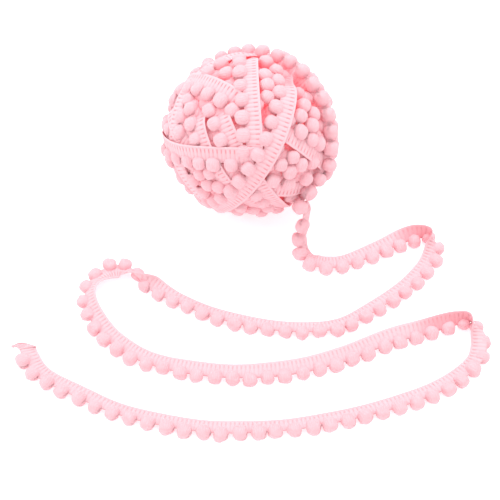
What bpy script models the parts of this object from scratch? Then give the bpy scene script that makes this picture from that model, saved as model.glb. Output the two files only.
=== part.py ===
"""Pompom fringe trim: most of its length is wound into a ball, and the loose end lies beside it in
long bends. The trim is a ribbed tape with a row of yarn pompoms held along one edge.

The ball stands on a small flat spot at the origin. +X is to the right, +Y away from the loose end."""

import math
from collections import namedtuple

import bmesh
import bpy
from mathutils import Matrix, Vector

MM = 0.001

# Driving sizes of the trim, in millimetres.
POMPOM_PITCH = 11.4
POMPOM_DIAMETER = 9.6
POMPOM_SIDES = 6
TRIM_WIDTH = 15.8
TAPE_THICKNESS = 1.2
TAPE_ROW_SPACING = 7.0
GAP = 0.35

# Half the outline of one pompom and of the thread that it sits on, as shares of the pompom's
# radius: how far along the thread, and how thick it is there.
Outline = namedtuple("Outline", "along thickness")
OUTLINE = [
    Outline(-0.96, 0.2),
    Outline(-0.66, 0.76),
    Outline(0.0, 1.0),
    Outline(0.66, 0.76),
    Outline(0.96, 0.2),
]

# Driving sizes of the wound ball, in millimetres. It is a little less deep and tall than wide.
BALL_CORE_RADIUS = 57.0
BALL_SHAPE = Vector((1.0, 0.98, 0.955))
BALL_CENTRE_HEIGHT = 54.0
TURN_THICKNESS = 9.0
TURN_SEGMENTS = 24

# The loose end, from the ball to its cut end. Each row is the middle of the pompom row at a bend
# or along a run, in mm. lean_deg is how far the tape tips over from upright, to the left of the
# way it runs; below zero it tips to the right.
RouteRow = namedtuple("RouteRow", "x y z lean_deg")
LOW = POMPOM_DIAMETER / 2 * math.cos(math.pi / POMPOM_SIDES)
ROUTE = [
    # down from the ball
    RouteRow(36, -54, 31, 0),
    RouteRow(35, -57, 20, 0),
    RouteRow(34, -60, 10, 2),
    RouteRow(34, -65, LOW + 1, 6),
    RouteRow(37, -72, LOW, 18),
    # first run, to the right
    RouteRow(43, -77, LOW, 45),
    RouteRow(54, -79, LOW, 82),
    RouteRow(70, -76, LOW, 94),
    RouteRow(92, -66, LOW, 86),
    RouteRow(108, -58, LOW, 64),
    RouteRow(119, -54, LOW, 34),
    # first right-hand bend
    RouteRow(127, -53, LOW, -2),
    RouteRow(131, -59, LOW, -42),
    RouteRow(130, -70, LOW, -76),
    RouteRow(124, -80, LOW, -98),
    # second run, back to the left
    RouteRow(109, -95, LOW, -104),
    RouteRow(88, -111, LOW, -107),
    RouteRow(62, -126, LOW, -107),
    RouteRow(36, -130, LOW, -107),
    RouteRow(6, -127, LOW, -107),
    RouteRow(-24, -119, LOW, -107),
    RouteRow(-50, -107, LOW, -104),
    RouteRow(-66, -99, LOW, -68),
    # left-hand loop
    RouteRow(-74, -91, LOW, -4),
    RouteRow(-80, -81, LOW, 55),
    RouteRow(-89, -76, LOW, 82),
    RouteRow(-101, -79, LOW, 74),
    RouteRow(-110, -90, LOW, 52),
    RouteRow(-112, -105, LOW, 46),
    RouteRow(-106, -122, LOW, 62),
    RouteRow(-93, -138, LOW, 86),
    # third run, to the right
    RouteRow(-71, -152, LOW, 94),
    RouteRow(-40, -161, LOW, 86),
    RouteRow(-4, -164, LOW, 84),
    RouteRow(30, -161, LOW, 78),
    RouteRow(62, -152, LOW, 72),
    RouteRow(92, -139, LOW, 66),
    RouteRow(116, -132, LOW, 56),
    RouteRow(136, -125, LOW, 30),
    # second right-hand bend
    RouteRow(145, -122, LOW, -4),
    RouteRow(152, -130, LOW, -52),
    RouteRow(152, -144, LOW, -92),
    RouteRow(145, -157, LOW, -104),
    # last run, back to the cut end at the left
    RouteRow(126, -171, LOW, -105),
    RouteRow(98, -183, LOW, -107),
    RouteRow(62, -193, LOW, -107),
    RouteRow(24, -200, LOW, -107),
    RouteRow(-16, -202, LOW, -107),
    RouteRow(-50, -198, LOW, -107),
    RouteRow(-84, -189, LOW, -107),
    RouteRow(-113, -176, LOW, -105),
    RouteRow(-137, -163, LOW, -102),
    RouteRow(-148, -149, LOW, -100),
    RouteRow(-152, -139, LOW, -98),
]

# The main turns on the ball, each a flat band that goes once round it. A band's plane faces
# azimuth_deg and elevation_deg and passes offset_mm from the ball's middle. width_mm is the width
# of the band, and rise_mm is how far it stands out of the core.
Turn = namedtuple("Turn", "azimuth_deg elevation_deg offset_mm width_mm rise_mm")
TURNS = [
    Turn(50, -34, 0, 12, 5.5),
    Turn(-4, -30, 3, 14, 5.0),
    Turn(2, -2, -3, 15, 4.4),
    Turn(-78, -50, 3, 15, 4.7),
    Turn(50, 18, 6, 14, 3.8),
    Turn(-1, 37, -5, 16, 3.2),
    Turn(-68, 27, 4, 15, 3.5),
    Turn(20, 70, 9, 15, 2.8),
    Turn(118, 20, -8, 16, 4.1),
    Turn(160, 45, 6, 15, 2.6),
    Turn(84, 4, -3, 16, 4.3),
]

Station = namedtuple("Station", "point forward left up across")

TAPE_PINK = (0.93, 0.56, 0.62, 1.0)
POMPOM_PINK = (0.95, 0.62, 0.68, 1.0)


def remove_everything():
    for obj in list(bpy.data.objects):
        bpy.data.objects.remove(obj, do_unlink=True)


def add_collection(name):
    collection = bpy.data.collections.new(name)
    bpy.context.scene.collection.children.link(collection)
    return collection


def cloth_material(name, colour, roughness):
    material = bpy.data.materials.new(name)
    material.use_nodes = True
    shader = material.node_tree.nodes["Principled BSDF"]
    shader.inputs["Base Color"].default_value = colour
    shader.inputs["Roughness"].default_value = roughness
    shader.inputs["Metallic"].default_value = 0.0
    return material


def add_object(name, bm, collection, material=None):
    """A new object that holds this bmesh, with its faces turned outwards."""
    bmesh.ops.recalc_face_normals(bm, faces=bm.faces)
    mesh = bpy.data.meshes.new(name)
    bm.to_mesh(mesh)
    bm.free()
    if material:
        mesh.materials.append(material)
    obj = bpy.data.objects.new(name, mesh)
    collection.objects.link(obj)
    return obj


def apply_modifiers(obj):
    graph = bpy.context.evaluated_depsgraph_get()
    applied = bpy.data.meshes.new_from_object(obj.evaluated_get(graph))
    obj.modifiers.clear()
    obj.data = applied


def between(before, start, end, after, t):
    """A point of the smooth curve that runs from start to end and takes its slopes from both sides."""
    slope_start = (end - before) / 2
    slope_end = (after - start) / 2
    return (
        start * (2 * t**3 - 3 * t**2 + 1)
        + slope_start * (t**3 - 2 * t**2 + t)
        + end * (3 * t**2 - 2 * t**3)
        + slope_end * (t**3 - t**2)
    )


def fine_route():
    """The route as closely spaced vectors (x, y, z, lean)."""
    rows = [Vector(row) for row in ROUTE]
    rows = [2 * rows[0] - rows[1], *rows, 2 * rows[-1] - rows[-2]]
    steps = 24
    points = []
    for before, start, end, after in zip(rows, rows[1:], rows[2:], rows[3:]):
        points += [between(before, start, end, after, i / steps) for i in range(steps)]
    return [*points, rows[-2]]


def stations(first_mm, spacing_mm, last_mm):
    """The stations at even distances along the route, in mm."""
    route = fine_route()
    distance = 0.0
    wanted = first_mm
    found = []
    for here, there in zip(route, route[1:]):
        run = (there - here).to_3d()
        while wanted <= min(distance + run.length, last_mm):
            at = here.lerp(there, (wanted - distance) / run.length)
            found.append(station_at(at, run))
            wanted += spacing_mm
        distance += run.length
    return found


def station_at(at, run):
    """A place on the route, with the ways forward, left and up there, and the way the tape leans."""
    forward = run.normalized()
    left = Vector((-run.y, run.x, 0)).normalized()
    up = forward.cross(left)
    lean = math.radians(at.w)
    across = up * math.cos(lean) + left * math.sin(lean)
    return Station(at.to_3d(), forward, left, up, across)


def route_length():
    route = fine_route()
    return sum((there - here).to_3d().length for here, there in zip(route, route[1:]))


def add_tape(name, collection, material):
    """The woven tape of the loose end, from the pompoms' edge out to its selvedge."""
    near = POMPOM_DIAMETER / 2 + GAP
    far = TRIM_WIDTH - POMPOM_DIAMETER / 2
    rows = stations(0, TAPE_ROW_SPACING, route_length())
    last = len(rows) - 1
    bm = bmesh.new()
    bmesh.ops.create_grid(bm, x_segments=last, y_segments=1, size=1)
    for vertex in bm.verts:
        row = rows[round((vertex.co.x + 1) / 2 * last)]
        reach = near if vertex.co.y < 0 else far
        vertex.co = (row.point + row.across * reach) * MM
    tape = add_object(name, bm, collection, material)
    add_thickness(tape, TAPE_THICKNESS)


def add_thickness(obj, thickness_mm):
    solidify = obj.modifiers.new("Thickness", "SOLIDIFY")
    solidify.thickness = thickness_mm * MM
    solidify.offset = 0


def add_pompom_row(name, collection, material):
    """The fringe: the pompoms on one thread, as a single comb that is narrow from one to the next."""
    held = stations(POMPOM_PITCH * 0.75, POMPOM_PITCH, route_length() - POMPOM_PITCH * 0.6)
    rings = [(station, place) for station in held for place in OUTLINE]
    last = len(rings) - 1
    bm = bmesh.new()
    bmesh.ops.create_grid(bm, x_segments=last, y_segments=POMPOM_SIDES, size=1)
    for vertex in bm.verts:
        station, place = rings[round((vertex.co.x + 1) / 2 * last)]
        turn = math.pi * (vertex.co.y + 1 / POMPOM_SIDES)
        outward = station.left * math.sin(turn) + station.up * math.cos(turn)
        offset = station.forward * place.along + outward * place.thickness
        vertex.co = (station.point + offset * POMPOM_DIAMETER / 2) * MM
    bmesh.ops.remove_doubles(bm, verts=bm.verts, dist=1e-7)
    fill_open_ends(bm)
    add_object(name, bm, collection, material)


def fill_open_ends(bm):
    rims = [edge for edge in bm.edges if edge.is_boundary]
    bmesh.ops.holes_fill(bm, edges=rims, sides=0)


def add_turn(turn, collection):
    """One turn on the ball: a flat ring, half of it sunk in the core."""
    outer = math.sqrt((BALL_CORE_RADIUS + turn.rise_mm) ** 2 - turn.offset_mm**2)
    middle = (outer - TURN_THICKNESS / 2) * MM
    bm = bmesh.new()
    bmesh.ops.create_cone(
        bm,
        segments=TURN_SEGMENTS,
        radius1=middle,
        radius2=middle,
        depth=turn.width_mm * MM,
        cap_ends=False,
    )
    ring = add_object("turn", bm, collection)
    azimuth = math.radians(turn.azimuth_deg)
    elevation = math.radians(turn.elevation_deg)
    facing = Vector((math.cos(azimuth), math.sin(azimuth), math.tan(elevation))).normalized()
    ring.rotation_euler = facing.to_track_quat("Z", "Y").to_euler()
    ring.location = facing * turn.offset_mm * MM
    add_thickness(ring, TURN_THICKNESS)
    return ring


def add_wound_ball(name, collection, cutters, material):
    """One solid: a core with its main turns joined to it, cut flat where it rests."""
    bm = bmesh.new()
    bmesh.ops.create_uvsphere(bm, u_segments=24, v_segments=14, radius=BALL_CORE_RADIUS * MM)
    ball = add_object(name, bm, collection, material)
    for turn in TURNS:
        join = ball.modifiers.new("Turn", "BOOLEAN")
        join.operation = "UNION"
        join.object = add_turn(turn, cutters)
    apply_modifiers(ball)
    ball.data.transform(Matrix.Diagonal((*BALL_SHAPE, 1)))
    ball.data.transform(Matrix.Translation((0, 0, BALL_CENTRE_HEIGHT * MM)))

    bm = bmesh.new()
    bmesh.ops.create_cube(bm, size=2 * BALL_CORE_RADIUS * MM)
    under = add_object("under", bm, cutters)
    under.location.z = -BALL_CORE_RADIUS * MM
    flat = ball.modifiers.new("Flat spot", "BOOLEAN")
    flat.operation = "DIFFERENCE"
    flat.object = under
    for cutter in cutters.objects:
        cutter.hide_render = True
        cutter.display_type = "WIRE"


def main():
    remove_everything()
    trim = add_collection("pompom_fringe_trim")
    cutters = add_collection("cutters")
    add_tape("tail_tape", trim, cloth_material("tape_yarn", TAPE_PINK, 0.75))
    add_pompom_row("tail_pompoms", trim, cloth_material("pompom_yarn", POMPOM_PINK, 0.9))
    add_wound_ball("wound_ball", trim, cutters, cloth_material("wound_yarn", POMPOM_PINK, 0.85))


main()
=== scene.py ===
import math
from collections import namedtuple

import bmesh
import bpy
import numpy as np
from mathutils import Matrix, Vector
from mathutils.kdtree import KDTree


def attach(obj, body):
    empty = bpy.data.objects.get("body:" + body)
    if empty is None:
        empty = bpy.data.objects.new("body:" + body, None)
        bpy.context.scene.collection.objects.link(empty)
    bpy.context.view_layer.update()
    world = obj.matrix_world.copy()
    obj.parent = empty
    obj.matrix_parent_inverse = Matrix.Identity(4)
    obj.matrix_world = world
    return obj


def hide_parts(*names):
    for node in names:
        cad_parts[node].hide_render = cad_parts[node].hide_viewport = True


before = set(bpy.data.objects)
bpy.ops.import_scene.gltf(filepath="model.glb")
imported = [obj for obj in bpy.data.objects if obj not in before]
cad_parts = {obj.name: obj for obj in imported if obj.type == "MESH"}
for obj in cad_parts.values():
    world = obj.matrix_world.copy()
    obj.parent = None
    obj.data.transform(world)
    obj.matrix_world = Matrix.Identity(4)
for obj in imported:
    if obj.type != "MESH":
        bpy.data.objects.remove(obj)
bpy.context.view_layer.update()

MM = 0.001

# ---------------------------------------------------------------- the tape of the loose end
# The heading of the trim: a narrow cross-ribbed tape of pink yarn with a smooth selvedge cord on
# its free edge. It lies beside its pompoms in long bends, tips up on edge at each turn, and ends
# where it was cut.
PITCH = 11.4 * MM
POMPOM = 9.6 * MM
RIB = PITCH / 4
TAPE_THICKNESS = 0.9 * MM
SELVEDGE = 1.0 * MM
INNER_EDGE = 0.2 * MM
FREE_EDGE = 11.0 * MM
CUT_SHORT = 3.5 * MM
LOW = 0.5 * POMPOM * math.cos(math.pi / 6) / MM

# Beside the ball the tape is turned back behind its pompoms, and it comes round as it leaves.
TURNED_BACK_DEG = 165
TURNED_BACK_UNTIL = 15 * MM
COMES_ROUND_OVER = 45 * MM
# The last stretch, whose pompoms slide towards the cut end.
SLIDE_LENGTH = 120 * MM

# The middle of the pompom row in millimetres. The lean tips the tape over from upright, to the
# left of the way forward.
RouteRow = namedtuple("RouteRow", "x y z lean_deg")
ROUTE = [
    # down from the ball
    RouteRow(36, -54, 31, 0),
    RouteRow(35, -57, 20, 0),
    RouteRow(34, -60, 10, 2),
    RouteRow(34, -65, LOW + 1, 6),
    RouteRow(37, -72, LOW, 18),
    # first run, to the right
    RouteRow(43, -77, LOW, 45),
    RouteRow(54, -79, LOW, 82),
    RouteRow(70, -76, LOW, 94),
    RouteRow(92, -66, LOW, 86),
    RouteRow(108, -58, LOW, 64),
    RouteRow(119, -54, LOW, 34),
    # first right-hand bend
    RouteRow(127, -53, LOW, -2),
    RouteRow(131, -59, LOW, -42),
    RouteRow(130, -70, LOW, -76),
    RouteRow(124, -80, LOW, -98),
    # second run, back to the left
    RouteRow(109, -95, LOW, -104),
    RouteRow(88, -111, LOW, -107),
    RouteRow(62, -126, LOW, -107),
    RouteRow(36, -130, LOW, -107),
    RouteRow(6, -127, LOW, -107),
    RouteRow(-24, -119, LOW, -107),
    RouteRow(-50, -107, LOW, -104),
    RouteRow(-66, -99, LOW, -68),
    # left-hand loop
    RouteRow(-74, -91, LOW, -4),
    RouteRow(-80, -81, LOW, 55),
    RouteRow(-89, -76, LOW, 82),
    RouteRow(-101, -79, LOW, 74),
    RouteRow(-110, -90, LOW, 52),
    RouteRow(-112, -105, LOW, 46),
    RouteRow(-106, -122, LOW, 62),
    RouteRow(-93, -138, LOW, 86),
    # third run, to the right
    RouteRow(-71, -152, LOW, 94),
    RouteRow(-40, -161, LOW, 86),
    RouteRow(-4, -164, LOW, 84),
    RouteRow(30, -161, LOW, 78),
    RouteRow(62, -152, LOW, 72),
    RouteRow(92, -139, LOW, 66),
    RouteRow(116, -132, LOW, 56),
    RouteRow(136, -125, LOW, 30),
    # second right-hand bend
    RouteRow(145, -122, LOW, -4),
    RouteRow(152, -130, LOW, -52),
    RouteRow(152, -144, LOW, -92),
    RouteRow(145, -157, LOW, -104),
    # last run, back to the cut end at the left
    RouteRow(126, -171, LOW, -105),
    RouteRow(98, -183, LOW, -107),
    RouteRow(62, -193, LOW, -107),
    RouteRow(24, -200, LOW, -107),
    RouteRow(-16, -202, LOW, -107),
    RouteRow(-50, -198, LOW, -107),
    RouteRow(-84, -189, LOW, -107),
    RouteRow(-113, -176, LOW, -105),
    RouteRow(-137, -163, LOW, -102),
    RouteRow(-148, -149, LOW, -100),
    RouteRow(-152, -139, LOW, -98),
]


def unit(vectors):
    return vectors / np.linalg.norm(vectors, axis=-1, keepdims=True)


def smooth_through(rows, steps=24):
    """A smooth curve through the rows, each span cut into this many steps."""
    rows = np.array(rows, float)
    rows = np.vstack([2 * rows[0] - rows[1], rows, 2 * rows[-1] - rows[-2]])
    t = np.linspace(0, 1, steps, endpoint=False)[:, None]
    spans = []
    for before, start, end, after in zip(rows, rows[1:], rows[2:], rows[3:]):
        leave = (end - before) / 2
        arrive = (after - start) / 2
        spans.append(
            start * (2 * t**3 - 3 * t**2 + 1)
            + leave * (t**3 - 2 * t**2 + t)
            + end * (3 * t**2 - 2 * t**3)
            + arrive * (t**3 - t**2)
        )
    return np.vstack([*spans, rows[-2]])


def distances_along(points):
    return np.concatenate([[0], np.cumsum(np.linalg.norm(np.diff(points, axis=0), axis=1))])


def at_distances(wanted, distances, values):
    columns = [np.interp(wanted, distances, column) for column in values.T]
    return np.stack(columns, axis=-1)


# A run of trim: the middle of its pompom row, the way forward, and the way across the tape.
Run = namedtuple("Run", "distance middle forward across face")


def loose_run(first, spacing, slide=0.0):
    """The loose end at even distances in metres, as it leans on its pompoms.

    Its last stretch is drawn out towards the cut end by the slide."""
    fine = smooth_through(ROUTE)
    distances = distances_along(fine[:, :3]) * MM
    wanted = np.arange(first, distances[-1] - CUT_SHORT, spacing)
    wanted = wanted + slide * np.clip((wanted - distances[-1]) / SLIDE_LENGTH + 1, 0, 1)
    rows = at_distances(wanted, distances, fine)
    middle = rows[:, :3] * MM
    ripple_deg = 3 * np.sin(wanted / (21 * MM)) + 2 * np.sin(wanted / (8.3 * MM) + 1)
    lean = np.radians(rows[:, 3] + ripple_deg)
    leaving = np.clip((wanted - TURNED_BACK_UNTIL) / COMES_ROUND_OVER, 0, 1)
    lean += np.radians(TURNED_BACK_DEG) * (1 - leaving**2 * (3 - 2 * leaving))
    forward = unit(np.gradient(middle, axis=0))
    left = unit(np.cross([0, 0, 1], forward))
    up = np.cross(forward, left)
    across = up * np.cos(lean)[:, None] + left * np.sin(lean)[:, None]
    return Run(wanted, middle, forward, across, np.cross(forward, across))


# The section of the selvedge cord, in cord widths: how far in from the free edge, and how thick.
# The web of the tape ends WEB_END of them in. Its ribs rise and sink about RIB_MEAN.
CordRow = namedtuple("CordRow", "inset thick")
CORD_SECTION = [CordRow(0.95, 0.8), CordRow(0.5, 1.0), CordRow(0.0, 0.35)]
WEB_END = 1.1
RIB_ROUNDNESS = 0.7
RIB_MEAN = 0.6
DEEPEST_GROOVE = 0.3 * TAPE_THICKNESS


def tape_section(points):
    """The tape's section from its inner edge to its selvedge, with points - 1 places on its web:
    the share of the way across, the thickness, and how much of the ribs' height is there."""
    cord = SELVEDGE / (FREE_EDGE - INNER_EDGE)
    inset, thick = np.array(CORD_SECTION).T
    web = np.linspace(0, 1, points)[:-1] * (1 - WEB_END * cord)
    thickness = np.full(points - 1, TAPE_THICKNESS)
    thickness[0] = 0.5 * TAPE_THICKNESS
    ribbed = np.ones(points - 1)
    ribbed[0] = 0.4
    return (
        np.concatenate([web, 1 - inset * cord]),
        np.concatenate([thickness, SELVEDGE * thick]),
        np.concatenate([ribbed, np.zeros(len(inset))]),
    )


def ribbon_mesh(name, run, points, rib_height, curl_deg, floor=None):
    """A closed woven ribbon along a run, with its ribs raised and a cord for its selvedge.

    Its UV map holds ribs along the tape in U, and the place across it in V."""
    share, thickness, ribbed = tape_section(points)
    rib_phase = run.distance / RIB
    rib = np.abs(np.sin(np.pi * rib_phase)) ** RIB_ROUNDNESS
    lift = np.outer(rib - RIB_MEAN, ribbed) * rib_height
    curl = np.radians(curl_deg)[:, None] * share
    reach = INNER_EDGE + share * (FREE_EDGE - INNER_EDGE)
    centre = (
        run.middle[:, None]
        + run.across[:, None] * (reach * np.cos(curl))[..., None]
        + run.face[:, None] * (reach * np.sin(curl) * 0.5)[..., None]
    )
    normal = run.face[:, None] * np.cos(curl)[..., None] - run.across[:, None] * np.sin(curl)[..., None]
    half = thickness / 2 + np.maximum(lift, -DEEPEST_GROOVE)
    if floor is not None:
        centre[..., 2] = np.maximum(centre[..., 2], floor + SELVEDGE / 2)
    top = centre + normal * half[..., None]
    bottom = centre - normal * half[..., None]
    ring = np.concatenate([top, bottom[:, ::-1]], axis=1)
    v_place = np.concatenate([share, share[::-1]])
    return closed_tube(name, ring, rib_phase, v_place)


def closed_tube(name, ring, u_values, v_values):
    """A mesh through rings of points, closed round each ring and capped at both ends."""
    rows, sides = ring.shape[:2]
    index = np.arange(rows * sides).reshape(rows, sides)
    beside = np.roll(index, -1, axis=1)
    quads = np.stack([index[:-1], beside[:-1], beside[1:], index[1:]], axis=-1).reshape(-1, 4)
    u = np.broadcast_to(u_values[:, None], (rows, sides)).ravel()
    v = np.broadcast_to(v_values, (rows, sides)).ravel()
    faces = quads.tolist()
    faces.append(index[0].tolist())
    faces.append(index[-1][::-1].tolist())
    uv = np.stack([u, v], axis=-1)
    return new_mesh(name, ring.reshape(-1, 3), faces, uv)


def new_mesh(name, points, faces, uv):
    """A mesh object at the origin from joined points and faces, with its faces turned outwards."""
    mesh = bpy.data.meshes.new(name)
    mesh.from_pydata(np.asarray(points).tolist(), [], faces)
    layer = mesh.uv_layers.new(name="Yarn")
    corner = np.empty(len(mesh.loops), np.int32)
    mesh.loops.foreach_get("vertex_index", corner)
    layer.data.foreach_set("uv", uv[corner].astype(np.float32).ravel())
    bm = bmesh.new()
    bm.from_mesh(mesh)
    bmesh.ops.recalc_face_normals(bm, faces=bm.faces)
    bm.to_mesh(mesh)
    bm.free()
    mesh.shade_smooth()
    obj = bpy.data.objects.new(name, mesh)
    bpy.context.collection.objects.link(obj)
    return obj


class Node:
    """A value inside a material: arithmetic on it adds the maths nodes."""

    def __init__(self, tree, socket):
        self.tree = tree
        self.socket = socket

    def make(self, kind, settings=None, **sockets):
        node = self.tree.nodes.new(kind)
        for key, value in (settings or {}).items():
            setattr(node, key, value)
        for key, value in sockets.items():
            name = int(key[1:]) if key[0] == "i" and key[1:].isdigit() else key.replace("_", " ")
            if isinstance(value, Node):
                self.tree.links.new(value.socket, node.inputs[name])
            else:
                node.inputs[name].default_value = value
        return node

    def maths(self, operation, *values):
        sockets = {f"i{n}": value for n, value in enumerate(values)}
        node = self.make("ShaderNodeMath", {"operation": operation}, **sockets)
        return Node(self.tree, node.outputs[0])

    def __add__(self, other):
        return self.maths("ADD", self, other)

    def __sub__(self, other):
        return self.maths("SUBTRACT", self, other)

    def __rsub__(self, other):
        return self.maths("SUBTRACT", other, self)

    def __mul__(self, other):
        return self.maths("MULTIPLY", self, other)

    def __pow__(self, other):
        return self.maths("POWER", self, other)

    def sine(self):
        return self.maths("SINE", self)

    def size(self):
        return self.maths("ABSOLUTE", self)

    def between(self, low, high):
        """0 at low and 1 at high, smoothly."""
        node = self.make(
            "ShaderNodeMapRange",
            {"interpolation_type": "SMOOTHSTEP"},
            Value=self,
            From_Min=low,
            From_Max=high,
        )
        return Node(self.tree, node.outputs[0])

    def colours(self, first, second):
        """The first colour where this is 0 and the second where it is 1."""
        node = self.make("ShaderNodeMix", {"data_type": "RGBA"})
        self.tree.links.new(self.socket, node.inputs["Factor"])
        for name, value in (("A", first), ("B", second)):
            socket = [s for s in node.inputs if s.name == name and s.type == "RGBA"][0]
            if isinstance(value, Node):
                self.tree.links.new(value.socket, socket)
            else:
                socket.default_value = (*value, 1)
        return Node(self.tree, [s for s in node.outputs if s.type == "RGBA"][0])

    def noise(self, scale, detail=2.0):
        """Soft noise at this scale in each metre, on a vector."""
        node = self.make("ShaderNodeTexNoise", Vector=self, Scale=scale, Detail=detail)
        return Node(self.tree, node.outputs[0])


PALE_PINK = (0.91, 0.58, 0.63)
WARM_PINK = (0.915, 0.44, 0.495)
# Painted shade: the red of the ball's depths and of the tape's slots.
DEEP_SHADE_PINK = (0.93, 0.20, 0.24)
SELVEDGE_PINK = (0.93, 0.57, 0.62)
SHEEN_PINK = (1.0, 0.86, 0.88)
# Painted glow: the red of the emission deep in the ball.
PAINTED_GLOW_RED = (0.62, 0.12, 0.15)

# Painted shade: the ball's yarn is palest past OUTER_RADIUS and painted reddest within DEEP_RADIUS.
BALL_CENTRE_MM = np.array([0.0, 0.0, 54.0])
BALL_CENTRE = Vector(BALL_CENTRE_MM * MM)
DEEP_RADIUS = 46 * MM
OUTER_RADIUS = 56 * MM

# Painted shade and light: the tape is painted redder in the hollows inside the two right-hand bends,
# for their shade and the light through the tape.
HOLLOW_SHADE_PINK = (0.93, 0.30, 0.35)
Hollow = namedtuple("Hollow", "middle reach")
PAINTED_BEND_SHADE = [
    Hollow((0.116, -0.053, 0.008), 0.018),
    Hollow((0.130, -0.125, 0.008), 0.026),
]


def start_material(name, roughness, sheen, sheen_roughness):
    """A yarn material, and what it is drawn with: the place, and the two UV directions."""
    material = bpy.data.materials.new(name)
    material.use_nodes = True
    tree = material.node_tree
    shader = tree.nodes["Principled BSDF"]
    shader.inputs["Roughness"].default_value = roughness
    shader.inputs["Sheen Weight"].default_value = sheen
    shader.inputs["Sheen Roughness"].default_value = sheen_roughness
    shader.inputs["Sheen Tint"].default_value = (*SHEEN_PINK, 1)
    shader.inputs["Specular IOR Level"].default_value = 0.25
    coordinates = tree.nodes.new("ShaderNodeTexCoord")
    yarn = tree.nodes.new("ShaderNodeUVMap")
    yarn.uv_map = "Yarn"
    split = tree.nodes.new("ShaderNodeSeparateXYZ")
    tree.links.new(yarn.outputs[0], split.inputs[0])
    place = Node(tree, coordinates.outputs["Object"])
    return material, shader, place, Node(tree, split.outputs[0]), Node(tree, split.outputs[1])


def finish_material(shader, colour, height, distance, strength):
    """Joins up the colour and the bump."""
    tree = colour.tree
    tree.links.new(colour.socket, shader.inputs["Base Color"])
    bump = colour.make("ShaderNodeBump", Height=height, Distance=distance, Strength=strength)
    tree.links.new(bump.outputs[0], shader.inputs["Normal"])


def distance_from(place, middle):
    """How far a place is from this middle."""
    gap = place.make("ShaderNodeVectorMath", {"operation": "DISTANCE"}, i0=place, i1=middle)
    return Node(place.tree, gap.outputs["Value"])


def shade_depth_in_ball(place):
    """1 deep between the ball's turns, and 0 at its outside: where the painted shade goes."""
    return 1 - distance_from(place, tuple(BALL_CENTRE)).between(DEEP_RADIUS, OUTER_RADIUS)


def paint_glow_inside(shader, inside):
    """A painted glow: red emission deep in the gaps between turns, standing in for light through the
    yarn.
    """
    painted_glow = inside.colours((0.0, 0.0, 0.0), PAINTED_GLOW_RED)
    inside.tree.links.new(painted_glow.socket, shader.inputs["Emission Color"])
    shader.inputs["Emission Strength"].default_value = 0.6


WARP_THREADS = 14


def tape_material(name, in_ball):
    """Ribbed yarn: grooves between the ribs, slots in them near the selvedge, and a smooth cord."""
    material, shader, place, ribs, across = start_material(name, 0.78, 0.35, 0.45)
    groove = 1 - ((ribs * math.pi).sine().size() ** 0.8)
    cord = across.between(0.86, 0.9)
    slot_band = across.between(0.55, 0.64) * (1 - across.between(0.8, 0.87))
    slots = groove.between(0.35, 0.75) * slot_band
    warp = (across * math.pi * WARP_THREADS).sine().size()
    mottle = place.noise(260.0)
    # Painted shade: the grooves between the ribs are painted darker, more so on the ball; the mottle is
    # the yarn's own uneven tone.
    shade = (groove * (1 - cord)).between(0.25, 1.0) * (0.6 if in_ball else 0.2) + mottle * 0.3
    colour = shade.colours(PALE_PINK, WARM_PINK)
    # Painted shade in the slots.
    colour = (slots * (0.5 if in_ball else 0.05)).colours(colour, DEEP_SHADE_PINK)
    colour = (cord * 0.5).colours(colour, SELVEDGE_PINK)
    if in_ball:
        # Painted shade deep between the ball's turns.
        inside = shade_depth_in_ball(place)
        colour = inside.colours(colour, DEEP_SHADE_PINK)
        # Painted glow deep between the ball's turns.
        paint_glow_inside(shader, inside)
    else:
        # Painted shade and light in the bend hollows.
        for middle, reach in PAINTED_BEND_SHADE:
            bend_shade = 1 - distance_from(place, middle).between(reach * 0.3, reach)
            colour = (bend_shade * 0.55).colours(colour, HOLLOW_SHADE_PINK)
    fibres = place.noise(1500.0)
    height = (1 - groove) * (1 - cord) + warp * 0.25 * (1 - cord) + fibres * 0.25 - slots * 0.8
    finish_material(shader, colour, height, 0.35 * MM, 0.8)
    return material


# At the second bend the tape lies over its pompoms.
OVER_BEND = np.array([150, -140, LOW]) * MM
OVER_LENGTH = 20 * MM
OVER_HEIGHT = 3.6 * MM
# The free edge droops by up to this where the tape lies flat.
DROOP_DEG = 14


def route_lean(wanted):
    """The lean that the route gives at these distances, in degrees."""
    fine = smooth_through(ROUTE)
    return np.interp(wanted, distances_along(fine[:, :3]) * MM, fine[:, 3])


loose = loose_run(0, RIB / 6)
over_at = loose.distance[np.argmin(np.linalg.norm(loose.middle - OVER_BEND, axis=1))]
over = OVER_HEIGHT * np.exp(-(((loose.distance - over_at) / OVER_LENGTH) ** 2))
over_middle = loose.middle + np.outer(over, [0, 0, 1]) - loose.across * 0.5 * over[:, None]
lean_along = route_lean(loose.distance)
droop = -np.sign(lean_along) * DROOP_DEG * np.sin(np.radians(lean_along)) ** 2
laid_over = loose._replace(middle=over_middle)
loose_tape = ribbon_mesh("loose_tape", laid_over, 7, 0.14 * MM, droop, floor=0.0)
loose_tape.data.materials.append(tape_material("ribbed_tape", in_ball=False))
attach(loose_tape, "root")
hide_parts("tail_tape")

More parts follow.
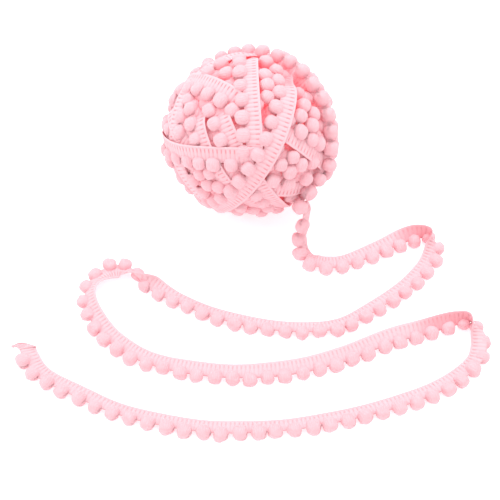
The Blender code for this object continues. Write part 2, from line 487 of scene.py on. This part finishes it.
# ---------------------------------------------------------------- the pompoms of the loose end
# Small round tufts of the same yarn, a little over a centimetre apart, each tied to the tape's
# inner edge. Their strands run out from the tape and are brushed into a soft ball.
def round_cage(cuts):
    """The points and faces of a ball made from a cube whose faces are cut this often."""
    bpy.ops.object.select_all(action="DESELECT")
    bpy.ops.mesh.primitive_cube_add(size=2)
    cube = bpy.context.object
    bpy.ops.object.mode_set(mode="EDIT")
    bpy.ops.mesh.select_all(action="SELECT")
    bpy.ops.mesh.subdivide(number_cuts=cuts)
    bpy.ops.transform.tosphere(value=1.0)
    bpy.ops.object.mode_set(mode="OBJECT")
    points = unit(np.array([v.co[:] for v in cube.data.vertices]))
    faces = np.array([f.vertices[:] for f in cube.data.polygons])
    bpy.data.objects.remove(cube, do_unlink=True)
    return points, faces


# Three sizes of lump, for a ball of radius 1: how often they come, and how high.
Lump = namedtuple("Lump", "often high")
LUMPS = [Lump(2.1, 0.035), Lump(4.3, 0.03), Lump(8.0, 0.022)]
STRAND_HIGH = 0.02
SQUARENESS = 0.15
ANY_PHASE = 6.28


def tufted(points, random, roughness):
    """The ball's points pushed in and out, with strands along its last axis."""
    bumps = np.zeros(len(points))
    for lump in LUMPS:
        for _ in range(3):
            way = unit(random.normal(size=3)) * lump.often
            bumps += lump.high * roughness * np.sin(points @ way + random.uniform(0, ANY_PHASE))
    angle = np.arctan2(points[:, 1], points[:, 0])
    strands = random.integers(9, 13)
    around = 1 - points[:, 2] ** 2
    phase = random.uniform(0, ANY_PHASE)
    bumps += STRAND_HIGH * roughness * around * np.sin(strands * angle + phase)
    squarer = 1 + SQUARENESS * (1 - np.max(np.abs(points), axis=1))
    return points * (squarer + bumps)[:, None]


def many_pompoms(name, cage, centres, axes, half_sizes, seed, roughness=1.0, floor=None):
    """All these pompoms in one mesh. axes holds three directions for each, strands along the last."""
    random = np.random.default_rng(seed)
    points, faces = cage
    angle = np.arctan2(points[:, 1], points[:, 0]) / (2 * math.pi)
    pole = np.arccos(np.clip(points[:, 2], -1, 1)) / math.pi
    all_points = []
    all_uv = []
    for centre, turn, half_size in zip(centres, axes, half_sizes):
        shape = tufted(points, random, roughness) * half_size
        placed = shape @ turn + centre
        if floor is not None:
            placed[:, 2] = np.maximum(placed[:, 2], floor)
        all_points.append(placed)
        all_uv.append(np.stack([angle + random.uniform(0, 1), pole], axis=-1))
    count = len(points)
    all_faces = [faces + n * count for n in range(len(centres))]
    return new_mesh(
        name, np.vstack(all_points), np.vstack(all_faces).tolist(), np.vstack(all_uv)
    )


STRANDS_ROUND = 22


def pompom_material(name, in_ball):
    """Brushed yarn: strands that wander from pole to pole, broken up by soft tufts."""
    material, shader, place, angle, pole = start_material(name, 0.9, 0.6, 0.4)
    wander = place.noise(300.0)
    round_the_side = (pole * math.pi).sine() ** 1.5
    phase = (angle * STRANDS_ROUND + wander * 2.5) * (2 * math.pi)
    strands = phase.sine() * 0.5 * round_the_side + 0.5
    tufts = place.noise(520.0, 3.0)
    shade = strands * 0.3 + tufts * 0.5
    colour = shade.colours(PALE_PINK, WARM_PINK)
    if in_ball:
        # Painted shade deep between the ball's turns.
        inside = shade_depth_in_ball(place)
        colour = inside.colours(colour, DEEP_SHADE_PINK)
        # Painted glow deep between the ball's turns.
        paint_glow_inside(shader, inside)
    height = strands * 0.5 + tufts * 0.9
    finish_material(shader, colour, height, 0.5 * MM, 0.7)
    return material


FIRST_HELD = 0.75 * PITCH
LAST_SLIDE = 6.5 * MM
# Each is a little longer along its strands, and a little out of place.
POMPOM_SHAPE = [1.0, 0.97, 1.03]
OUT_OF_PLACE = 0.35 * MM
MOSTLY_LEVEL = [1, 1, 0.3]

held = loose_run(FIRST_HELD, PITCH, slide=LAST_SLIDE)
is_held = held.distance < loose.distance[-1] - PITCH * 0.2
held_axes = np.stack([held.forward, held.face, held.across], axis=1)[is_held]
spread = np.random.default_rng(7)
count = int(is_held.sum())
sizes = POMPOM / 2 * spread.uniform(0.95, 1.02, (count, 1)) * POMPOM_SHAPE
shift = spread.normal(0, OUT_OF_PLACE, (count, 3)) * MOSTLY_LEVEL
loose_pompoms = many_pompoms(
    "loose_pompoms", round_cage(5), held.middle[is_held] + shift, held_axes, sizes, 11, floor=0.0
)
loose_pompoms.data.materials.append(pompom_material("pompom_yarn", in_ball=False))
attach(loose_pompoms, "root")
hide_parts("tail_pompoms")

# ---------------------------------------------------------------- the frayed end
# Where the trim was cut, a few of the tape's own threads have come loose. They trail from the cut
# and cling together in a point.
THREAD = 1.0 * MM
THREAD_SIDES = 6
THREAD_SAG = 1.2 * MM
END_THREADS = 12
# The threads start a little inside the tape, and meet past its end on the pompoms' side.
THREAD_ROOT = 0.6 * MM
POINT_PAST_END = 4.2 * MM
POINT_ASIDE = 4.5 * MM
POINT_SPREAD = 0.55 * MM
# The threads nearest the selvedge bow out the most.
LEAST_BOW = 0.5 * MM
MORE_BOW_EACH = 0.22 * MM
BOW_SPREAD = 0.3 * MM


def loose_thread(start, end, bow):
    """Rings of points round one thread, thinner towards its end."""
    share = np.linspace(0, 1, 9)[:, None]
    line = start + (end - start) * share + bow * np.sin(math.pi * share)
    line[:, 2] = np.maximum(line[:, 2] - THREAD_SAG * share[:, 0] ** 2, THREAD)
    forward = unit(np.gradient(line, axis=0))
    side = unit(np.cross(forward, [0, 0, 1]))
    above = np.cross(side, forward)
    turn = np.linspace(0, 2 * math.pi, THREAD_SIDES, endpoint=False)
    thick = THREAD / 2 * (1 - 0.6 * share[:, 0])
    round_it = side[:, None] * np.cos(turn)[:, None] + above[:, None] * np.sin(turn)[:, None]
    return line[:, None] + round_it * thick[:, None, None]


cut_middle = loose.middle[-2]
cut_across = loose.across[-2]
cut_forward = loose.forward[-2]
thread_random = np.random.default_rng(21)
thread_point = cut_middle + cut_forward * POINT_PAST_END - cut_across * POINT_ASIDE
threads = []
for n in range(END_THREADS):
    reach = INNER_EDGE + (FREE_EDGE - INNER_EDGE) * (n + 0.5) / END_THREADS
    start = cut_middle + cut_across * reach - cut_forward * THREAD_ROOT
    stray = thread_random.normal(0, POINT_SPREAD, 3) * MOSTLY_LEVEL
    bow = thread_random.normal(0, BOW_SPREAD, 3) + cut_forward * (LEAST_BOW + MORE_BOW_EACH * n)
    rings = loose_thread(start, thread_point + stray, bow)
    ribs_along = np.arange(len(rings)) * 0.5
    threads.append(closed_tube("frayed_end", rings, ribs_along, np.full(THREAD_SIDES, 0.3)))
bpy.ops.object.select_all(action="DESELECT")
for thread in threads:
    thread.select_set(True)
bpy.context.view_layer.objects.active = threads[0]
bpy.ops.object.join()
frayed_end = bpy.context.object
frayed_end.data.materials.append(loose_tape.data.materials[0])
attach(frayed_end, "root")

# ---------------------------------------------------------------- the tape wound on the ball
# The rest of the same tape, wound flat round and round. Each turn lies over the ones before it,
# and every turn passes on to the next behind the ball. The last one stands off a little.

# A turn's plane faces azimuth_deg and elevation_deg, towards its pompoms, and their row passes
# offset_mm from the ball's middle. tilt_deg raises the selvedge. The turn lies on top from from_deg
# to to_deg past its foremost point, and beyond them it dips under its neighbours.
Turn = namedtuple("Turn", "azimuth_deg elevation_deg offset_mm radius_mm tilt_deg from_deg to_deg")
BALL_SHAPE = np.array([1.065, 1.0, 0.965])
BALL_MIDDLE = np.array(BALL_CENTRE)
# The ball's front is towards the loose end, and upwards.
TOWARDS_FRONT = np.array([0.0, -0.574, 0.819])
DIP_MM = 6.0
DIP_OVER_DEG = 9
WANDER_MM = 0.9
ON_EDGE_DEG = -76
OUTER_TURNS = [
    Turn(60, 22, 4, 53.8, 3, 22, 75),
    Turn(20, 66, 8, 53.8, 3, -70, 180),
    Turn(172, -36, 5.0, 54.2, 3, -180, 17),
    Turn(190, -24, 5.0, 54.6, 3, -180, 14),
    Turn(302, 42, 10.4, 54.8, 2, -180, 180),
    Turn(229, -18, 5.7, 55.0, 4, 19, 180),
    Turn(269, -52, 9.5, 55.6, 3, -4, 180),
    Turn(182, 2, 6.2, 56.0, 4, -16, 58),
    Turn(175, 29, 8.0, 56.5, 4, -180, 31),
    Turn(50, -34, 3.0, 58.0, ON_EDGE_DEG, -180, 180),
]
INNER_TURN_COUNT = 34
INNERMOST_MM = 43.5
FARTHER_EACH_MM = 0.18
# These steps round and up never repeat, so the inner turns spread evenly over the ball.
STEP_ROUND_DEG = 137.5
STEP_UP = 0.618
HIGHEST = 0.96


def inner_turns():
    """The turns under the outer ones, each set round by a steady step from the one before."""
    for n in range(INNER_TURN_COUNT):
        azimuth = n * STEP_ROUND_DEG % 360
        height = 1 - 2 * (n * STEP_UP + 0.3) % 2
        elevation = math.degrees(math.asin(HIGHEST * height))
        offset = 3 * math.sin(n * 1.7)
        radius = INNERMOST_MM + n * FARTHER_EACH_MM
        yield Turn(azimuth, elevation, offset, radius, 2, -180, 180)


def turn_frame(turn):
    """The turn's facing way, and the ways to its front and along its run there."""
    azimuth = math.radians(turn.azimuth_deg)
    elevation = math.radians(turn.elevation_deg)
    facing = np.array(
        [
            math.cos(azimuth) * math.cos(elevation),
            math.sin(azimuth) * math.cos(elevation),
            math.sin(elevation),
        ]
    )
    front = unit(TOWARDS_FRONT - facing * (TOWARDS_FRONT @ facing))
    return facing, front, np.cross(facing, front)


def turn_points(turn, first, last, steps):
    """Rows of place (mm from the ball's middle) and tilt, from one angle past the front to another."""
    facing, front, along = turn_frame(turn)
    angle = np.linspace(first, last, steps)[:, None]
    past = np.maximum(turn.from_deg - np.degrees(angle), np.degrees(angle) - turn.to_deg)
    dip = DIP_MM * np.clip(past / DIP_OVER_DEG, 0, 1)
    radius = np.sqrt((turn.radius_mm - dip) ** 2 - turn.offset_mm**2)
    place = facing * turn.offset_mm + radius * (front * np.cos(angle) + along * np.sin(angle))
    place = place + facing * np.sin(3 * angle + turn.azimuth_deg) * WANDER_MM
    return np.hstack([place, np.full((steps, 1), turn.tilt_deg)])


# Where the last turn leaves off: how many of its steps are kept, and the rows that follow them.
Tail = namedtuple("Tail", "keep rows")
STEPS_A_TURN = 25


def wound_path(turns, held_share, tail=None):
    """One path round the turns. It keeps to each for this share of half a circle, front to back,
    and crosses to the next behind the ball."""
    reach = held_share * math.pi
    rows = [turn_points(turn, -reach, reach, STEPS_A_TURN) for turn in turns]
    if tail is not None:
        rows[-1] = rows[-1][: tail.keep]
        rows.append(tail.rows)
    return smooth_through(np.vstack(rows), steps=10)


def wound_run(path, spacing):
    """The path as a run of trim on the ball, at even distances in metres."""
    places = path[:, :3] * BALL_SHAPE
    distances = distances_along(places) * MM
    wanted = np.arange(0, distances[-1], spacing)
    rows = at_distances(wanted, distances, np.hstack([places, path[:, 3:4]]))
    wave = 0.9 * np.sin(wanted / (19 * MM)) + 0.6 * np.sin(wanted / (7.1 * MM) + 2)
    middle = rows[:, :3] * MM + BALL_MIDDLE
    outward = unit(rows[:, :3] / BALL_SHAPE**2)
    forward = unit(np.gradient(middle, axis=0))
    across = unit(np.cross(forward, outward))
    tilt = np.radians(rows[:, 3] + 3 * wave)[:, None]
    across = across * np.cos(tilt) + outward * np.sin(tilt)
    return Run(wanted, middle, forward, across, np.cross(forward, across))


def exit_rows():
    """The end of the last turn, where it leaves the ball for the loose end."""
    start = (np.array(ROUTE[0][:3]) - BALL_CENTRE_MM) / BALL_SHAPE
    second = (np.array(ROUTE[1][:3]) - BALL_CENTRE_MM) / BALL_SHAPE
    before = start + (start - second) * 0.9 + np.array([-1.0, 1.5, 0])
    return np.array([[*before, ON_EDGE_DEG], [*start, ON_EDGE_DEG]])


# Over the last of it the tape turns to meet the loose end's.
MEETS_OVER = 30 * MM
outer_path = wound_path(OUTER_TURNS, held_share=0.74, tail=Tail(17, exit_rows()))
outer = wound_run(outer_path, RIB / 4)
joined = np.clip((outer.distance - outer.distance[-1]) / MEETS_OVER + 1, 0, 1)[:, None]
meeting = outer.across * (1 - joined) + loose.across[0] * joined
meeting = unit(meeting - outer.forward * np.sum(meeting * outer.forward, axis=1, keepdims=True))
outer = outer._replace(across=meeting, face=np.cross(outer.forward, meeting))
outer_tape = ribbon_mesh("outer_turns", outer, 4, 0.16 * MM, np.zeros(len(outer.distance)))

inner_path = wound_path(inner_turns(), held_share=0.8)
inner = wound_run(inner_path, RIB / 2)
inner_tape = ribbon_mesh("inner_turns", inner, 3, 0.1 * MM, np.zeros(len(inner.distance)))

wound_tape_material = tape_material("wound_ribbed_tape", in_ball=True)
for tape, run in ((outer_tape, outer), (inner_tape, inner)):
    tape.data.materials.append(wound_tape_material)
    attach(tape, "root")
    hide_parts("wound_ball")

# ---------------------------------------------------------------- the pompoms on the ball
# The same pompoms along the wound tape. Where a later turn crosses them they are pressed flat
# under it, and elsewhere they bulge out and shoulder each other aside.

# A wound pompom sits this far beside the tape's edge, and this far in, give or take a little.
BESIDE_EDGE = 1.3 * MM
SETTLES = 1.2 * MM
UNEVEN = 0.5 * MM


def pompoms_on(run, path_start):
    """The places, ways across and lateness of a run's pompoms. Lateness is how far along the
    whole wound trim each one is, so a later turn lies over it."""
    distances = np.arange(PITCH / 2, run.distance[-1] - PITCH / 2, PITCH)
    nearest = np.searchsorted(run.distance, distances)
    beside = run.middle[nearest] - run.across[nearest] * BESIDE_EDGE
    return beside, run.across[nearest], distances + path_start


def finder_of(places):
    """A quick way to find which of these places are near another."""
    tree = KDTree(len(places))
    for n, place in enumerate(places):
        tree.insert(place, n)
    tree.balance()
    return tree


def radius_of(place):
    """How far out a place or each row of places is, on a ball of the same shape."""
    return np.linalg.norm((place - BALL_MIDDLE) / BALL_SHAPE, axis=-1)


# The outer turns are wound after all the inner ones, so their lateness starts past all of theirs.
OUTER_START = 1000.0
parts = zip(pompoms_on(inner, 0.0), pompoms_on(outer, OUTER_START))
centres, acrosses, lateness = (np.concatenate(pair) for pair in parts)
is_outer = lateness >= OUTER_START
random = np.random.default_rng(5)
half_sizes = POMPOM / 2 * random.uniform(1.02, 1.13, (len(centres), 1)) * np.ones(3)

# The outer turns' tape, as a row of places down its middle.
cover = Run(*(part[::3] for part in outer))
cover_places = cover.middle + cover.across * (INNER_EDGE + FREE_EDGE) / 2
cover_lateness = cover.distance + OUTER_START
cover_finder = finder_of(cover_places)
cover_heights = radius_of(cover_places)
# Tape lower than this has dipped under its neighbours, and covers nothing.
LEAST_COVER = 51.5 * MM
TAPE_REACH = (FREE_EDGE - INNER_EDGE) / 2
# How close a place is to tape that passes over it: in all, along the tape, and to its side.
COVER_NEAR = 15 * MM
COVER_ALONG = 3.0 * MM
COVER_ASIDE = TAPE_REACH + 2.4 * MM
# A tape lies over a pompom only if at least this many metres of trim were wound between them.
LATER_BY = 0.12


def tapes_over(place, late):
    """The later tape that passes over a place: the row it is in, and the place's distance aside."""
    for _, m, _ in cover_finder.find_range(place, COVER_NEAR):
        if cover_heights[m] < LEAST_COVER or cover_lateness[m] <= late + LATER_BY:
            continue
        gap = place - cover_places[m]
        aside = gap @ cover.across[m]
        if abs(gap @ cover.forward[m]) < COVER_ALONG and abs(aside) < COVER_ASIDE:
            yield m, aside


SLIPS_BEYOND = 2.6 * MM
SLIP_STEP = 0.25 * MM


def slip_aside(centres, rounds):
    """Lets the pompoms near a later tape's edge slip out from under it."""
    for _ in range(rounds):
        for n, place in enumerate(centres):
            for m, aside in tapes_over(place, lateness[n]):
                if abs(aside) > SLIPS_BEYOND:
                    way = cover.across[m] * math.copysign(1, aside)
                    centres[n] = centres[n] + way * SLIP_STEP
    return centres


PUSH_SHARE = 0.3
SAME_PLACE = 1e-6


def push_apart(centres, chosen, spacing, rounds):
    """Lets the chosen pompoms shoulder each other aside. The last turn's stay in their row."""
    for _ in range(rounds):
        tree = finder_of(centres[chosen])
        moves = np.zeros_like(centres)
        for n in chosen:
            for other, m, distance in tree.find_range(centres[n], spacing):
                if chosen[m] != n and distance > SAME_PLACE:
                    away = (centres[n] - np.array(other)) / distance
                    moves[n] += away * (spacing - distance) * PUSH_SHARE
        moves[is_last] = 0
        centres = centres + moves
    return centres


def on_ball(place, radius):
    """The place moved in or out to this radius of the ball's own rounded shape."""
    way = (place - BALL_MIDDLE) / BALL_SHAPE
    return BALL_MIDDLE + way * (radius / np.linalg.norm(way)) * BALL_SHAPE


PRESSED_WITHIN = TAPE_REACH + 0.9 * MM
UNDER_TAPE = 0.8 * MM


def pressed_under(n):
    """How far out the lowest later tape over a pompom is, or nothing."""
    heights = []
    for m, aside in tapes_over(centres[n], lateness[n]):
        if abs(aside) < PRESSED_WITHIN:
            heights.append(cover_heights[m] - UNDER_TAPE)
    return min(heights) if heights else None


# A free pompom rises to the outside where there is room, and sinks between the others where not.
RISEN_RADIUS = 53.6 * MM
SUNK_RADIUS = 49.2 * MM
LOOSE_SPACING = 6.9 * MM
PUSHED_TO = 8.8 * MM
# The last turn stands on edge, and its tape keeps the pompoms behind it clear.
LAST_TURN_LENGTH = 0.27
GAP_BY_LAST = 11.5 * MM
# What a later tape makes of a pompom: flatter, and a little wider.
OUTER_SQUASH = 0.5
INNER_SQUASH = 0.62
STRETCH = 1.1
last_facing = turn_frame(OUTER_TURNS[-1])[0]
is_last = lateness > OUTER_START + outer.distance[-1] - LAST_TURN_LENGTH
centres = slip_aside(centres, 8)
risen = []
for n in np.argsort(-lateness):
    ceiling = pressed_under(n)
    height = max(radius_of(centres[n]) - SETTLES, RISEN_RADIUS)
    centres[n] = on_ball(centres[n], height + random.normal(0, UNEVEN))
    if ceiling is None:
        gaps = np.linalg.norm(centres[risen] - centres[n], axis=1)
        behind_last = is_last[risen] & ((centres[n] - centres[risen]) @ last_facing < 0)
        allowed = np.where(behind_last, GAP_BY_LAST, LOOSE_SPACING)
        if not is_last[n] and np.any(gaps < allowed):
            centres[n] = on_ball(centres[n], SUNK_RADIUS)
        else:
            risen.append(n)
        continue
    half_sizes[n, 1] *= OUTER_SQUASH if is_outer[n] else INNER_SQUASH
    half_sizes[n, 0] *= STRETCH
    centres[n] = on_ball(centres[n], ceiling - half_sizes[n, 1])
centres = push_apart(centres, np.array(risen), PUSHED_TO, 6)

outward_axis = unit(centres - BALL_MIDDLE)
strand_axis = unit(acrosses - outward_axis * np.sum(acrosses * outward_axis, axis=1, keepdims=True))
wound_axes = np.stack([np.cross(outward_axis, strand_axis), outward_axis, strand_axis], axis=1)
pompom_cage = round_cage(2)
wound_pompom_material = pompom_material("wound_pompom_yarn", in_ball=True)
for name, chosen, seed in (("outer_pompoms", is_outer, 3), ("inner_pompoms", ~is_outer, 4)):
    pompoms = many_pompoms(
        name, pompom_cage, centres[chosen], wound_axes[chosen], half_sizes[chosen], seed, 0.5, 0.0
    )
    pompoms.data.materials.append(wound_pompom_material)
    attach(pompoms, "root")
    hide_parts("wound_ball")

# ---------------------------------------------------------------- the middle of the ball
# The first turns of all, packed too tightly to tell apart. Only specks of them show between the
# outer turns, in deep shade.
CORE_RADIUS = 46 * MM
bpy.ops.object.select_all(action="DESELECT")
bpy.ops.mesh.primitive_ico_sphere_add(subdivisions=4, radius=CORE_RADIUS, location=BALL_CENTRE)
middle_ball = bpy.context.object
middle_ball.name = "ball_middle"
bpy.ops.object.mode_set(mode="EDIT")
bpy.ops.mesh.select_all(action="SELECT")
bpy.ops.transform.resize(value=tuple(BALL_SHAPE), center_override=BALL_CENTRE)
bpy.ops.object.mode_set(mode="OBJECT")
bpy.ops.object.transform_apply(location=True, rotation=True, scale=True)
middle_ball.data.shade_smooth()
middle_ball.data.uv_layers[0].name = "Yarn"
# Its material paints the middle ball in the deep red of painted shade, with the painted glow.
middle_ball.data.materials.append(wound_pompom_material)
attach(middle_ball, "root")
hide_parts("wound_ball")

# ---------------------------------------------------------------- floor, light and camera
# A plain white table under a broad soft light from above and behind, seen from above the front.
bpy.ops.mesh.primitive_plane_add(size=6)
floor = bpy.context.object
floor.name = "floor"
floor_material = bpy.data.materials.new("white_table")
floor_material.use_nodes = True
floor_shader = floor_material.node_tree.nodes["Principled BSDF"]
floor_shader.inputs["Base Color"].default_value = (0.93, 0.93, 0.93, 1)
floor_shader.inputs["Emission Color"].default_value = (1, 1, 1, 1)
floor_shader.inputs["Emission Strength"].default_value = 0.4
floor_shader.inputs["Roughness"].default_value = 0.7
floor_shader.inputs["Specular IOR Level"].default_value = 0.1
floor.data.materials.append(floor_material)

world = bpy.data.worlds.new("studio")
world.use_nodes = True
world.node_tree.nodes["Background"].inputs["Color"].default_value = (1, 1, 1, 1)
world.node_tree.nodes["Background"].inputs["Strength"].default_value = 0.96
bpy.context.scene.world = world


def add_softbox(name, place, size, power):
    light = bpy.data.lights.new(name, "AREA")
    light.shape = "DISK"
    light.size = size
    light.energy = power
    box = bpy.data.objects.new(name, light)
    box.location = place
    box.rotation_euler = (-Vector(place)).to_track_quat("-Z", "Y").to_euler()
    bpy.context.collection.objects.link(box)


add_softbox("softbox_above", (0.15, 0.45, 1.3), 0.9, 9.5)
add_softbox("softbox_side", (-1.1, -0.2, 0.9), 0.8, 3)

CAMERA_TILT = math.radians(55)
CAMERA_DISTANCE = 0.677
CAMERA_AIM = Vector((-0.3, -60.7, 0)) * MM
look = Vector((0, math.cos(CAMERA_TILT), -math.sin(CAMERA_TILT)))
camera = bpy.data.objects.new("camera", bpy.data.cameras.new("camera"))
camera.location = CAMERA_AIM - look * CAMERA_DISTANCE
camera.rotation_euler = (math.pi / 2 - CAMERA_TILT, 0, 0)
camera.data.lens = 69.1
camera.data.clip_start = 0.01
bpy.context.collection.objects.link(camera)
bpy.context.scene.camera = camera
bpy.context.scene.view_settings.view_transform = "Standard"
bpy.context.scene.cycles.diffuse_bounces = 8
